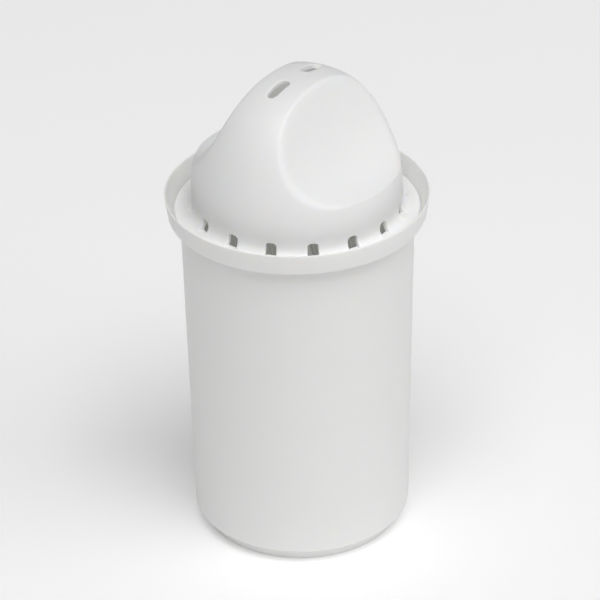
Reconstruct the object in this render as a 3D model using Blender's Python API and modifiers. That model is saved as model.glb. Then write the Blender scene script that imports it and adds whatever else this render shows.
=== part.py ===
"""Water pitcher filter cartridge, standing on its foot at the origin. Metres, +Z up.

A tapered cup with a slotted base holds a bed of granules between two round screens. Its mouth widens
into a ledge with an upstanding rim. The moulded cap lies on that ledge: a dome with a finger hollow on
each side, sixteen flow slots round its foot and two vents on the ridge. The ridge runs along X.
"""

import math

import bmesh
import bpy
import numpy as np
from mathutils import Matrix, Vector

MM = 0.001

# Clearance that every piece keeps from its neighbour
FIT = 0.3 * MM

# Cup: outer shape from the foot upwards
FOOT_INSET = 2.8 * MM
FOOT_HEIGHT = 4.0 * MM
BODY_BOTTOM_RADIUS = 27.4 * MM
BODY_TOP_RADIUS = 28.8 * MM
LEDGE_UNDERSIDE = 87.0 * MM
LEDGE_THICKNESS = 0.8 * MM
LEDGE_OVERHANG = 2.9 * MM
RIM_FLARE = 0.8 * MM
RIM_HEIGHT = 5.4 * MM

# Cup: walls, base and the step that the upper screen sits on
BODY_WALL = 1.6 * MM
MOUTH_WALL = 1.0 * MM
RIM_FOOT_WALL = 1.4 * MM
RIM_LIP_WALL = 1.0 * MM
FOOT_RING_WIDTH = 1.8 * MM
FOOT_RING_HEIGHT = 1.0 * MM
BASE_THICKNESS = 1.6 * MM
BASE_CORNER = 1.5 * MM
FLANGE_CORNER = 0.5 * MM
SCREEN_SEAT_DEPTH = 2.6 * MM

# Cup: flow slots in the base
BASE_SLOTS = 12
BASE_SLOT_WIDTH = 1.8 * MM
BASE_SLOT_INNER = 6.5 * MM
BASE_SLOT_MARGIN = 7.4 * MM

# Cap: flange, spigot and dome
CAP_WALL = 1.0 * MM
FLANGE_THICKNESS = 0.7 * MM
DOME_SETBACK = 2.9 * MM
DOME_HEIGHT = 34.0 * MM
DOME_FULLNESS = 2.5
DOME_FILLET = 1.0 * MM
SPIGOT_WALL = 1.1 * MM

# Cap: the two finger hollows, each the inside of an ellipsoid that stands beside the dome
RIDGE_HALF_WIDTH = 6.1 * MM
HOLLOW_DEPTH_AXIS = 17.0 * MM
HOLLOW_LENGTH_AXIS = 105.0 * MM
HOLLOW_HEIGHT_AXIS = 30.6 * MM
HOLLOW_CENTRE_RISE = 41.0 * MM
HOLLOW_EDGE_BLEND = 2.0 * MM
HOLLOW_MIDDLE_ELEVATION = math.radians(50)

# Cap: slots round the foot of the dome, and vents on the ridge
CAP_SLOTS = 16
CAP_SLOT_WIDTH = 2.7 * MM
CAP_SLOT_HEIGHT = 3.1 * MM
CAP_SLOT_CORNER = 0.7 * MM
CAP_SLOT_SILL = 0.1 * MM
VENT_LENGTH = 6.8 * MM
VENT_WIDTH = 2.6 * MM
VENT_FROM_AXIS = 6.8 * MM
VENT_END_ROUNDING = 0.49

# Screens and granules
SCREEN_MESH_THICKNESS = 0.5 * MM
SCREEN_RING_HEIGHT = 1.3 * MM
SCREEN_RING_WIDTH = 1.6 * MM
SCREEN_SPOKES = 8
SCREEN_SPOKE_WIDTH = 1.2 * MM
SCREEN_SPOKE_DROP = 0.2 * MM
SCREEN_HUB_RADIUS = 2.5 * MM
FILL_HEADSPACE = 4.0 * MM
MEDIA_CROWN = 1.5 * MM

# Fineness of the round shapes
TURN_STEPS = 64
DOME_STEPS = 15
CAVITY_STEPS = 6
HOLLOW_COLUMNS = 40
CAVITY_HOLLOW_COLUMNS = 16
HALVINGS = 30
ARC_STEPS = 3
LIP_STEPS = 4
CORNER_STEPS = 2
CROWN_STEPS = 4
CUTTER_OVERSHOOT = 2.0 * MM
CUTTER_STRETCH = 1.4
SHARP_ANGLE = math.radians(35)

# Heights and radii that follow from the sizes above
FOOT_RADIUS = BODY_BOTTOM_RADIUS - FOOT_INSET
BASE_TOP = FOOT_RING_HEIGHT + BASE_THICKNESS
BASE_SLOT_OUTER = BODY_BOTTOM_RADIUS - BASE_SLOT_MARGIN
LEDGE_TOP = LEDGE_UNDERSIDE + LEDGE_THICKNESS
RIM_BOTTOM_RADIUS = BODY_TOP_RADIUS + LEDGE_OVERHANG
RIM_TOP_RADIUS = RIM_BOTTOM_RADIUS + RIM_FLARE
RIM_TOP = LEDGE_UNDERSIDE + RIM_HEIGHT
SCREEN_SEAT = LEDGE_UNDERSIDE - SCREEN_SEAT_DEPTH
DOME_RADIUS = BODY_TOP_RADIUS - DOME_SETBACK
CAP_UNDERSIDE = LEDGE_TOP + FIT
SPIGOT_END = SCREEN_SEAT + FIT + SCREEN_RING_HEIGHT + FIT
CAP_FLANGE_TOP = CAP_UNDERSIDE + FLANGE_THICKNESS
DOME_CENTRE = CAP_FLANGE_TOP + DOME_FILLET
RIM_INNER_FOOT = RIM_BOTTOM_RADIUS - RIM_FOOT_WALL


def body_radius(height):
    """Outer radius of the tapered body wall: a straight draft from its lower edge to the ledge."""
    share = (height - FOOT_HEIGHT) / (LEDGE_UNDERSIDE - FOOT_HEIGHT)
    return BODY_BOTTOM_RADIUS + (BODY_TOP_RADIUS - BODY_BOTTOM_RADIUS) * share


def arc(centre_r, centre_z, radius, start, end, steps=ARC_STEPS):
    """Points of an arc in the (r, z) plane, from one angle to another in degrees, both ends included."""
    angles = np.radians(np.linspace(start, end, steps + 1))
    return [(centre_r + radius * math.cos(a), centre_z + radius * math.sin(a)) for a in angles]


def fresh_scene():
    """Empties the scene and makes one collection for the parts and one for the cutters."""
    for old in list(bpy.data.objects):
        bpy.data.objects.remove(old)
    scene = bpy.context.scene
    parts = bpy.data.collections.new("filter_cartridge")
    cutters = bpy.data.collections.new("cutters")
    scene.collection.children.link(parts)
    scene.collection.children.link(cutters)
    return parts, cutters


def plastic(name, colour, roughness):
    """A plain material with the piece's colour and roughness."""
    material = bpy.data.materials.new(name)
    material.use_nodes = True
    shader = material.node_tree.nodes["Principled BSDF"]
    shader.inputs["Base Color"].default_value = (*colour, 1.0)
    shader.inputs["Roughness"].default_value = roughness
    shader.inputs["Metallic"].default_value = 0.0
    return material


def shade(mesh):
    """Smooth shading, apart from the mesh's sharp edges."""
    mesh.shade_smooth()
    mesh.set_sharp_from_angle(angle=SHARP_ANGLE)


def add_part(parts, name, mesh, material):
    """Links a mesh as a named part, with its material, smooth apart from its sharp edges."""
    mesh.materials.append(material)
    shade(mesh)
    part = bpy.data.objects.new(name, mesh)
    parts.objects.link(part)
    return part


def as_cutter(cutter):
    """Keeps an object out of the part and shows it as a wire frame."""
    cutter.hide_render = True
    cutter.display_type = "WIRE"
    return cutter


def add_cutter(cutters, name, shape):
    """Turns a bmesh into a cutter object that is left out of the part."""
    mesh = bpy.data.meshes.new(name)
    bmesh.ops.recalc_face_normals(shape, faces=shape.faces)
    shape.to_mesh(mesh)
    shape.free()
    shade(mesh)
    cutter = bpy.data.objects.new(name, mesh)
    cutters.objects.link(cutter)
    return as_cutter(cutter)


def turned(parts, name, profile, material):
    """A solid of revolution: a profile in (r, z), outer side running downwards, carried round Z."""
    mesh = bpy.data.meshes.new(name)
    points = [(r, 0.0, z) for r, z in profile]
    edges = [(i, i + 1) for i in range(len(points) - 1)]
    if profile[0][0] > 0:
        edges.append((len(points) - 1, 0))
    mesh.from_pydata(points, edges, [])
    part = add_part(parts, name, mesh, material)
    screw = part.modifiers.new("turn", "SCREW")
    screw.steps = TURN_STEPS
    screw.render_steps = TURN_STEPS
    screw.use_merge_vertices = True
    screw.merge_threshold = 0.00001
    screw.use_smooth_shade = True
    return part


def cut(part, cutter):
    """Takes the cutter's shape out of the part."""
    boolean = part.modifiers.new("cut_" + cutter.name, "BOOLEAN")
    boolean.operation = "DIFFERENCE"
    boolean.solver = "EXACT"
    boolean.object = cutter


def crisp_cuts(part):
    """Makes the edges that the cuts leave sharp, and lets the large faces set the shading beside them."""
    group = bpy.data.node_groups.new("sharp_by_angle", "GeometryNodeTree")
    group.interface.new_socket("Geometry", in_out="INPUT", socket_type="NodeSocketGeometry")
    group.interface.new_socket("Geometry", in_out="OUTPUT", socket_type="NodeSocketGeometry")
    start = group.nodes.new("NodeGroupInput")
    end = group.nodes.new("NodeGroupOutput")
    angle = group.nodes.new("GeometryNodeInputMeshEdgeAngle")
    gentle = group.nodes.new("FunctionNodeCompare")
    gentle.operation = "LESS_THAN"
    gentle.inputs["B"].default_value = SHARP_ANGLE
    smooth = group.nodes.new("GeometryNodeSetShadeSmooth")
    smooth.domain = "EDGE"
    group.links.new(start.outputs[0], smooth.inputs["Geometry"])
    group.links.new(angle.outputs["Unsigned Angle"], gentle.inputs["A"])
    group.links.new(gentle.outputs["Result"], smooth.inputs["Shade Smooth"])
    group.links.new(smooth.outputs["Geometry"], end.inputs[0])
    part.modifiers.new("sharp_by_angle", "NODES").node_group = group
    part.modifiers.new("even_shading", "WEIGHTED_NORMAL").keep_sharp = True


def block(shape, low, high, rounded=0.0, edge_axis=None, upper_only=False):
    """Adds a box between two corners to a bmesh, with the edges along one axis rounded off."""
    made = bmesh.ops.create_cube(shape, size=1.0)
    verts = made["verts"]
    size = np.subtract(high, low)
    middle = np.add(high, low) / 2
    bmesh.ops.scale(shape, vec=size, verts=verts)
    bmesh.ops.translate(shape, vec=middle, verts=verts)
    if not rounded:
        return verts
    edges = []
    for edge in dict.fromkeys(e for v in verts for e in v.link_edges):
        along = edge.verts[1].co - edge.verts[0].co
        is_upper = edge.verts[0].co.z > middle[2]
        if abs(along[edge_axis]) > 0.9 * along.length and (is_upper or not upper_only):
            edges.append(edge)
    before = set(shape.verts) - set(verts)
    bmesh.ops.bevel(shape, geom=edges, offset=rounded, segments=ARC_STEPS, affect="EDGES", profile=0.5)
    return [v for v in shape.verts if v not in before]


def ring_of_blocks(count, low, high, rounded=0.0, upper_only=False):
    """A bmesh of equal boxes set round Z, the first of them along X."""
    shape = bmesh.new()
    for i in range(count):
        verts = block(shape, low, high, rounded, 0, upper_only)
        turn = Matrix.Rotation(2 * math.pi * i / count, 4, "Z")
        bmesh.ops.transform(shape, matrix=turn, verts=verts)
    return shape


def cup_profile():
    """Section of the cup, from the middle of its floor up the inside, over the rim and down the outside."""
    inner_bottom = body_radius(BASE_TOP) - BODY_WALL
    corner = arc(inner_bottom - BASE_CORNER, BASE_TOP + BASE_CORNER, BASE_CORNER, -90, 0)
    mouth_radius = body_radius(LEDGE_TOP) - MOUTH_WALL
    rim_inner_top = RIM_TOP_RADIUS - RIM_LIP_WALL
    lip = RIM_LIP_WALL / 2
    inside = [
        (0.0, BASE_TOP),
        *corner,
        (body_radius(SCREEN_SEAT) - BODY_WALL, SCREEN_SEAT),
        (body_radius(SCREEN_SEAT) - MOUTH_WALL, SCREEN_SEAT),
        (mouth_radius, LEDGE_TOP),
        (RIM_INNER_FOOT, LEDGE_TOP),
    ]
    over_lip = arc(RIM_TOP_RADIUS - lip, RIM_TOP - lip, lip, 180, 0, LIP_STEPS)
    corner_r = RIM_BOTTOM_RADIUS - FLANGE_CORNER
    under_ledge = arc(corner_r, LEDGE_UNDERSIDE + FLANGE_CORNER, FLANGE_CORNER, 0, -90, CORNER_STEPS)
    root_r = BODY_TOP_RADIUS + FLANGE_CORNER
    root = arc(root_r, LEDGE_UNDERSIDE - FLANGE_CORNER, FLANGE_CORNER, 90, 180, CORNER_STEPS)
    foot_ring_inner = FOOT_RADIUS - FOOT_RING_WIDTH
    outside = [
        (BODY_BOTTOM_RADIUS, FOOT_HEIGHT),
        (FOOT_RADIUS, 0.0),
        (foot_ring_inner, 0.0),
        (foot_ring_inner, FOOT_RING_HEIGHT),
        (0.0, FOOT_RING_HEIGHT),
    ]
    return inside + over_lip + under_ledge + root + outside


def make_cup(parts, cutters, material):
    """The cup with its ring of flow slots through the base."""
    cup = turned(parts, "cup", cup_profile(), material)
    low = (BASE_SLOT_INNER, -BASE_SLOT_WIDTH / 2, FOOT_RING_HEIGHT - CUTTER_OVERSHOOT)
    high = (BASE_SLOT_OUTER, BASE_SLOT_WIDTH / 2, BASE_TOP + CUTTER_OVERSHOOT)
    slots = add_cutter(cutters, "base_slots", ring_of_blocks(BASE_SLOTS, low, high))
    cut(cup, slots)
    crisp_cuts(cup)
    return cup


def dome_distance(elevation, inset):
    """Distance from the dome's centre to its surface: a superellipse, drawn in by the inset."""
    across = (np.cos(elevation) / (DOME_RADIUS - inset)) ** DOME_FULLNESS
    upward = (np.maximum(np.sin(elevation), 0.0) / (DOME_HEIGHT - inset)) ** DOME_FULLNESS
    return (across + upward) ** (-1.0 / DOME_FULLNESS)


def hollow_distance(rays, inset):
    """Distance from the dome's centre to the nearer side of the hollow's ellipsoid.

    The rays and the ellipsoid's centre are divided by the ellipsoid's axes, which makes it a unit
    sphere, and the nearer root of the ray's quadratic is the distance. Where a ray misses, the root of
    what is missing is added instead, so that the distance grows on without a step.
    """
    axes = np.array([HOLLOW_LENGTH_AXIS, HOLLOW_DEPTH_AXIS, HOLLOW_HEIGHT_AXIS]) + inset
    centre = np.array([0.0, RIDGE_HALF_WIDTH + HOLLOW_DEPTH_AXIS, HOLLOW_CENTRE_RISE]) / axes
    rays = rays / axes
    a = (rays * rays).sum(axis=-1)
    b = rays @ centre
    under_root = b * b - a * (centre @ centre - 1.0)
    return (b - np.sign(under_root) * np.sqrt(np.abs(under_root))) / a


def soft_minimum(first, second, blend):
    """The smaller of two lengths, rounded off where they are within the blend of each other."""
    share = np.clip(0.5 + 0.5 * (second - first) / blend, 0.0, 1.0)
    return second * (1 - share) + first * share - blend * share * (1 - share)


def hollow_rays(lean, turn):
    """Unit rays from the dome's centre, leaning away from the hollow's middle towards each turn round it."""
    middle = np.array([0.0, math.cos(HOLLOW_MIDDLE_ELEVATION), math.sin(HOLLOW_MIDDLE_ELEVATION)])
    above = np.array([0.0, -math.sin(HOLLOW_MIDDLE_ELEVATION), math.cos(HOLLOW_MIDDLE_ELEVATION)])
    beside = np.array([1.0, 0.0, 0.0])
    aside = np.cos(turn)[:, None] * beside + np.sin(turn)[:, None] * above
    return np.cos(lean)[:, None] * middle + np.sin(lean)[:, None] * aside


def both_distances(lean, turn, inset):
    """Distances to the dome and to the hollow's ellipsoid along the rays round the hollow's middle."""
    rays = hollow_rays(lean, turn)
    return dome_distance(np.arcsin(rays[:, 2]), inset), hollow_distance(rays, inset)


def lean_where(excess, turn, inset):
    """Lean at which the ellipsoid lies so much farther off than the dome, found by halving."""
    near, far = np.zeros_like(turn), np.full_like(turn, math.pi / 2)
    for _ in range(HALVINGS):
        middle = (near + far) / 2
        dome, hollow = both_distances(middle, turn, inset)
        short = hollow - dome < excess
        near, far = np.where(short, middle, near), np.where(short, far, middle)
    return near


def hollow_cutter(cutters, name, columns, inset):
    """The two solids that cut the finger hollows, each an ellipsoid with a flare that rounds the edge.

    Rings of points run outwards from the hollow's middle over its floor and over the rounded edge. From
    there the cutter goes straight on out of the dome, and closes over it.
    """
    turn = 2 * np.pi * np.arange(columns) / columns
    edge = lean_where(0.0, turn, inset)
    floor_end = lean_where(-HOLLOW_EDGE_BLEND, turn, inset)
    flare = lean_where(HOLLOW_EDGE_BLEND / 2, turn, inset)
    floor = [floor_end * share for share in (0, 1 / 3, 2 / 3, 1)]
    rings = []
    for lean in (*floor, (floor_end + edge) / 2, edge, flare):
        distance = soft_minimum(*both_distances(lean, turn, inset), HOLLOW_EDGE_BLEND)
        rings.append(hollow_rays(lean, turn) * distance[:, None])
    rings.append(2 * rings[-1] - rings[-2])
    rings.append(CUTTER_STRETCH * rings[-1])
    rings.append(CUTTER_STRETCH**2 * rings[0])
    shape = bmesh.new()
    for half_turn in (0.0, math.pi):
        place = Matrix.Translation((0.0, 0.0, DOME_CENTRE)) @ Matrix.Rotation(half_turn, 4, "Z")
        rows = [[shape.verts.new(place @ Vector(point)) for point in ring] for ring in rings]
        for upper, lower in zip(rows, rows[1:]):
            for j in range(columns):
                k = (j + 1) % columns
                shape.faces.new((upper[j], lower[j], lower[k], upper[k]))
    bmesh.ops.remove_doubles(shape, verts=shape.verts, dist=0.001 * MM)
    return add_cutter(cutters, name, shape)


def dome_section(steps, inset):
    """Section of the dome in (r, z), from its top down to the height of its centre."""
    elevations = np.linspace(math.pi / 2, 0.0, steps + 1)[1:]
    distance = dome_distance(elevations, inset)
    side = zip(distance * np.cos(elevations), DOME_CENTRE + distance * np.sin(elevations))
    return [(0.0, DOME_CENTRE + DOME_HEIGHT - inset), *side]


def make_cap(parts, cutters, material):
    """The cap: a turned dome on a flange, scooped by the hollows, then hollowed out, slotted and vented."""
    fillet_r = DOME_RADIUS + DOME_FILLET
    flange_edge = RIM_INNER_FOOT - FIT
    spigot_outer = body_radius(SCREEN_SEAT) - MOUTH_WALL - FIT
    spigot_inner = spigot_outer - SPIGOT_WALL
    outside = [
        *dome_section(DOME_STEPS, 0.0),
        *arc(fillet_r, DOME_CENTRE, DOME_FILLET, 180, 270)[1:],
        (flange_edge, CAP_FLANGE_TOP),
        (flange_edge, CAP_UNDERSIDE),
        (spigot_outer, CAP_UNDERSIDE),
        (spigot_outer, SPIGOT_END),
        (0.0, SPIGOT_END),
    ]
    cap = turned(parts, "cap", outside, material)
    cut(cap, hollow_cutter(cutters, "finger_hollows", HOLLOW_COLUMNS, 0.0))

    reach = DOME_FILLET + CAP_WALL
    drop = math.degrees(math.acos((fillet_r - spigot_inner) / reach))
    inside = [
        *dome_section(CAVITY_STEPS, CAP_WALL),
        *arc(fillet_r, DOME_CENTRE, reach, 180, 180 + drop)[1:],
        (spigot_inner, SPIGOT_END - CUTTER_OVERSHOOT),
        (0.0, SPIGOT_END - CUTTER_OVERSHOOT),
    ]
    cavity = as_cutter(turned(cutters, "cap_cavity", inside, material))
    cut(cavity, hollow_cutter(cutters, "cavity_hollows", CAVITY_HOLLOW_COLUMNS, CAP_WALL))
    cut(cap, cavity)

    half_slot = CAP_SLOT_WIDTH / 2
    sill = CAP_FLANGE_TOP + CAP_SLOT_SILL
    slot_low = (DOME_RADIUS - CAP_WALL - CUTTER_OVERSHOOT, -half_slot, sill)
    slot_high = (DOME_RADIUS + DOME_FILLET + CUTTER_OVERSHOOT, half_slot, sill + CAP_SLOT_HEIGHT)
    slots = ring_of_blocks(CAP_SLOTS, slot_low, slot_high, CAP_SLOT_CORNER, upper_only=True)
    cut(cap, add_cutter(cutters, "flow_slots", slots))

    vents = bmesh.new()
    for side in (-1, 1):
        near = side * VENT_FROM_AXIS - VENT_LENGTH / 2
        low = (near, -VENT_WIDTH / 2, DOME_CENTRE + DOME_HEIGHT / 2)
        high = (near + VENT_LENGTH, VENT_WIDTH / 2, DOME_CENTRE + DOME_HEIGHT + CUTTER_OVERSHOOT)
        block(vents, low, high, VENT_WIDTH * VENT_END_ROUNDING, 2)
    cut(cap, add_cutter(cutters, "vents", vents))
    crisp_cuts(cap)
    return cap


def make_screen(parts, cutters, name, radius, underside, material):
    """A round screen: a thin mesh disc in a ring, stiffened by a hub and spokes on its upper side."""
    mesh_top = underside + SCREEN_MESH_THICKNESS
    ring_top = underside + SCREEN_RING_HEIGHT
    spoke_top = ring_top - SCREEN_SPOKE_DROP
    inner = radius - SCREEN_RING_WIDTH
    profile = [
        (0.0, spoke_top),
        (SCREEN_HUB_RADIUS, spoke_top),
        (SCREEN_HUB_RADIUS, mesh_top),
        (inner, mesh_top),
        (inner, ring_top),
        (radius, ring_top),
        (radius, underside),
        (0.0, underside),
    ]
    screen = turned(parts, name, profile, material)
    low = (SCREEN_HUB_RADIUS / 2, -SCREEN_SPOKE_WIDTH / 2, underside + SCREEN_MESH_THICKNESS / 2)
    high = (inner + SCREEN_RING_WIDTH / 2, SCREEN_SPOKE_WIDTH / 2, spoke_top - SCREEN_SPOKE_DROP / 2)
    spokes = add_cutter(cutters, name + "_spokes", ring_of_blocks(SCREEN_SPOKES, low, high))
    join = screen.modifiers.new("join_spokes", "BOOLEAN")
    join.operation = "UNION"
    join.solver = "EXACT"
    join.object = spokes
    return screen


def make_media(parts, low, high, material):
    """The bed of granules, which fills the cup's tapered bore between the screens."""
    lower = body_radius(low) - BODY_WALL - FIT
    upper = body_radius(high) - BODY_WALL - FIT
    sweep = np.linspace(0, math.pi / 2, CROWN_STEPS + 1)
    crown = [(upper * math.sin(a), high + MEDIA_CROWN * math.cos(a)) for a in sweep]
    return turned(parts, "filter_media", [*crown, (lower, low), (0.0, low)], material)


def main():
    parts, cutters = fresh_scene()
    white = plastic("white_plastic", (0.80, 0.81, 0.79), 0.45)
    cap_white = plastic("cap_white_plastic", (0.82, 0.83, 0.81), 0.45)
    screen_white = plastic("screen_mesh", (0.78, 0.79, 0.77), 0.6)
    granules = plastic("carbon_and_resin", (0.09, 0.08, 0.07), 0.8)
    make_cup(parts, cutters, white)
    make_cap(parts, cutters, cap_white)

    lower_seat = BASE_TOP + FIT
    lower_radius = body_radius(BASE_TOP) - BODY_WALL - BASE_CORNER
    make_screen(parts, cutters, "lower_screen", lower_radius, lower_seat, screen_white)
    upper_seat = SCREEN_SEAT + FIT
    upper_radius = body_radius(SCREEN_SEAT) - MOUTH_WALL - FIT
    make_screen(parts, cutters, "upper_screen", upper_radius, upper_seat, screen_white)
    bed_low = lower_seat + SCREEN_RING_HEIGHT + FIT
    make_media(parts, bed_low, SCREEN_SEAT - FILL_HEADSPACE, granules)


main()
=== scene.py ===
import math

import bmesh
import bpy
import numpy as np
from mathutils import Matrix, Quaternion, Vector


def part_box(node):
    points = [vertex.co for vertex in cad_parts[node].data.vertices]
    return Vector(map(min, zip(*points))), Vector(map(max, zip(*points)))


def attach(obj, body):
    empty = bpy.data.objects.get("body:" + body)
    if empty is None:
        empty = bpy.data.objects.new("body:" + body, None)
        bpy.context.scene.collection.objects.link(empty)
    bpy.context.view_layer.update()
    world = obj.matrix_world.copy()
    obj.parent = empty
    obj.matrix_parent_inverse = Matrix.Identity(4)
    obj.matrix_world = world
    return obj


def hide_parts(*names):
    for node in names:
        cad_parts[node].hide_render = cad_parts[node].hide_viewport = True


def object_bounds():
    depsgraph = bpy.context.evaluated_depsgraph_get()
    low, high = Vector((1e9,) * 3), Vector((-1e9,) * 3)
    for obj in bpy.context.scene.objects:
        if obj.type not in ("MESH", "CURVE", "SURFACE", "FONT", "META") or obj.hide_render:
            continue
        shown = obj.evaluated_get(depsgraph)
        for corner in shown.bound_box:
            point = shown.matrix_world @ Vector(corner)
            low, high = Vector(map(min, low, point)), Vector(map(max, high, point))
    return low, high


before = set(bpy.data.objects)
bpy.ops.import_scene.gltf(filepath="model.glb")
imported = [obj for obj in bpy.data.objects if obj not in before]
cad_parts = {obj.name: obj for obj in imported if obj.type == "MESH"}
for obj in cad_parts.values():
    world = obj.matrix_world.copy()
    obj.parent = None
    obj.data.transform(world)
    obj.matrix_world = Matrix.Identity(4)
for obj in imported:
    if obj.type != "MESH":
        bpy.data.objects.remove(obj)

MM = 0.001
cad_low, cad_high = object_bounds()

# Camera. A long lens stands above the rim and looks down at the cartridge from beside the end of
# its ridge, as a product is photographed on a table. Its place is given round the middle of the object.
CAMERA_AZIMUTH = math.radians(307.0)
CAMERA_ELEVATION = math.radians(30.8)
CAMERA_ROLL = math.radians(-1.0)
CAMERA_DISTANCE = 815.1 * MM
CAMERA_AIM_HEIGHT = 61.2 * MM
FILM_WIDTH = 36.0
FOCAL_PIXELS = 3269.5
PICTURE_PIXELS = 600
OBJECT_LEFT_PIXELS = 1.06

camera_data = bpy.data.cameras.new("product_camera")
camera_data.sensor_width = FILM_WIDTH
camera_data.lens = FILM_WIDTH * FOCAL_PIXELS / PICTURE_PIXELS
camera_data.shift_x = OBJECT_LEFT_PIXELS / PICTURE_PIXELS
camera_data.clip_start = 0.05
camera = bpy.data.objects.new("product_camera", camera_data)
bpy.context.scene.collection.objects.link(camera)
towards_camera = Vector((
    math.sin(CAMERA_AZIMUTH) * math.cos(CAMERA_ELEVATION),
    -math.cos(CAMERA_AZIMUTH) * math.cos(CAMERA_ELEVATION),
    math.sin(CAMERA_ELEVATION),
))
upright = towards_camera.to_track_quat("Z", "Y").to_matrix().to_4x4()
camera_place = Vector((0.0, 0.0, CAMERA_AIM_HEIGHT)) + CAMERA_DISTANCE * towards_camera
camera.matrix_world = Matrix.Translation(camera_place) @ upright @ Matrix.Rotation(CAMERA_ROLL, 4, "Z")
bpy.context.scene.camera = camera


# Studio. The floor is a pale, faintly lit table that runs on past the picture's edges under an even tent of
# light. A large soft box hangs above the camera, and a second one stands lower down, to the right of it.
FLOOR_SIZE = 6.0
FLOOR_COLOUR = (0.93, 0.93, 0.93)
FLOOR_MOTTLE = 0.985
FLOOR_GLOW = 0.14
FLOOR_ROUGHNESS = 0.7
TENT_COLOUR = (1.0, 1.0, 1.0, 1.0)
TENT_STRENGTH = 0.125
SOFT_BOX_DISTANCE = 4.0
SOFT_BOX_SIZE = 2.9
KEY_AZIMUTH = math.radians(307.0)
KEY_ELEVATION = math.radians(65.0)
KEY_WATTS = 100.0
FILL_AZIMUTH = math.radians(7.0)
FILL_ELEVATION = math.radians(50.0)
FILL_WATTS = 46.0


def soft_box(name, azimuth, elevation, watts):
    """A square area light that faces the middle of the object from an azimuth and an elevation."""
    data = bpy.data.lights.new(name, "AREA")
    data.shape = "SQUARE"
    data.size = SOFT_BOX_SIZE
    data.energy = watts
    light = bpy.data.objects.new(name, data)
    towards_light = Vector((
        math.sin(azimuth) * math.cos(elevation), -math.cos(azimuth) * math.cos(elevation), math.sin(elevation)
    ))
    middle = Vector((0.0, 0.0, CAMERA_AIM_HEIGHT))
    place = Matrix.Translation(middle + SOFT_BOX_DISTANCE * towards_light)
    light.matrix_world = place @ towards_light.to_track_quat("Z", "Y").to_matrix().to_4x4()
    bpy.context.scene.collection.objects.link(light)


soft_box("key_soft_box", KEY_AZIMUTH, KEY_ELEVATION, KEY_WATTS)
soft_box("fill_soft_box", FILL_AZIMUTH, FILL_ELEVATION, FILL_WATTS)

tent = bpy.data.worlds.new("light_tent")
tent.use_nodes = True
tent.node_tree.nodes["Background"].inputs["Color"].default_value = TENT_COLOUR
tent.node_tree.nodes["Background"].inputs["Strength"].default_value = TENT_STRENGTH
bpy.context.scene.world = tent
bpy.context.scene.view_settings.view_transform = "Standard"


class Flow:
    """A socket of a material's node tree. Sums, differences and products of it are Math nodes in the tree."""

    def __init__(self, tree, socket=None):
        self.tree = tree
        self.socket = socket

    def node(self, kind, settings=None, output=0, **values):
        """Adds a node of one kind, sets it, fills or links its inputs and gives one of its outputs."""
        made = self.tree.nodes.new("ShaderNode" + kind)
        for name, setting in (settings or {}).items():
            setattr(made, name, setting)
        for name, value in values.items():
            key = int(name[1:]) if name[1:].isdigit() else name.replace("_", " ")
            target = made.inputs[key]
            if isinstance(value, Flow):
                self.tree.links.new(value.socket, target)
            else:
                target.default_value = value
        return Flow(self.tree, made.outputs[output])

    def maths(self, operation, first, second):
        """Adds a Math node for two values, sockets or plain numbers."""
        return self.node("Math", {"operation": operation}, i0=first, i1=second)

    def __add__(self, other):
        return self.maths("ADD", self, other)

    def __sub__(self, other):
        return self.maths("SUBTRACT", self, other)

    def __mul__(self, other):
        return self.maths("MULTIPLY", self, other)

    __radd__ = __add__
    __rmul__ = __mul__

    def blend(self, low_colour, high_colour):
        """A colour between two, by this value."""
        settings = {"data_type": "RGBA"}
        return self.node("Mix", settings, output=2, i0=self, i6=(*low_colour, 1.0), i7=(*high_colour, 1.0))


def shaded(name, finish):
    """A material. Its Principled shader and a start for its nodes are handed to the finish to fill in."""
    material = bpy.data.materials.new(name)
    material.use_nodes = True
    tree = material.node_tree
    shader = tree.nodes["Principled BSDF"].inputs
    finish(Flow(tree), shader)
    return material


def join(flow, socket):
    """Links a worked-out value to a socket of the shader."""
    flow.tree.links.new(flow.socket, socket)


def floor_finish(start, shader):
    """The pale matt top of a light table, very slightly uneven."""
    place = start.node("TexCoord", output="Object")
    mottle = start.node("TexNoise", Vector=place, Scale=6.0, Detail=3.0)
    join(mottle.blend(FLOOR_COLOUR, [FLOOR_MOTTLE * c for c in FLOOR_COLOUR]), shader["Base Color"])
    shader["Emission Color"].default_value = (1.0, 1.0, 1.0, 1.0)
    shader["Emission Strength"].default_value = FLOOR_GLOW
    shader["Roughness"].default_value = FLOOR_ROUGHNESS
    shader["Specular IOR Level"].default_value = 0.2


floor_shape = bmesh.new()
bmesh.ops.create_grid(floor_shape, x_segments=4, y_segments=4, size=FLOOR_SIZE / 2)
floor_mesh = bpy.data.meshes.new("studio_floor")
floor_shape.to_mesh(floor_mesh)
floor_shape.free()
floor_mesh.materials.append(shaded("pale_floor", floor_finish))
floor = bpy.data.objects.new("studio_floor", floor_mesh)
bpy.context.scene.collection.objects.link(floor)


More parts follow.
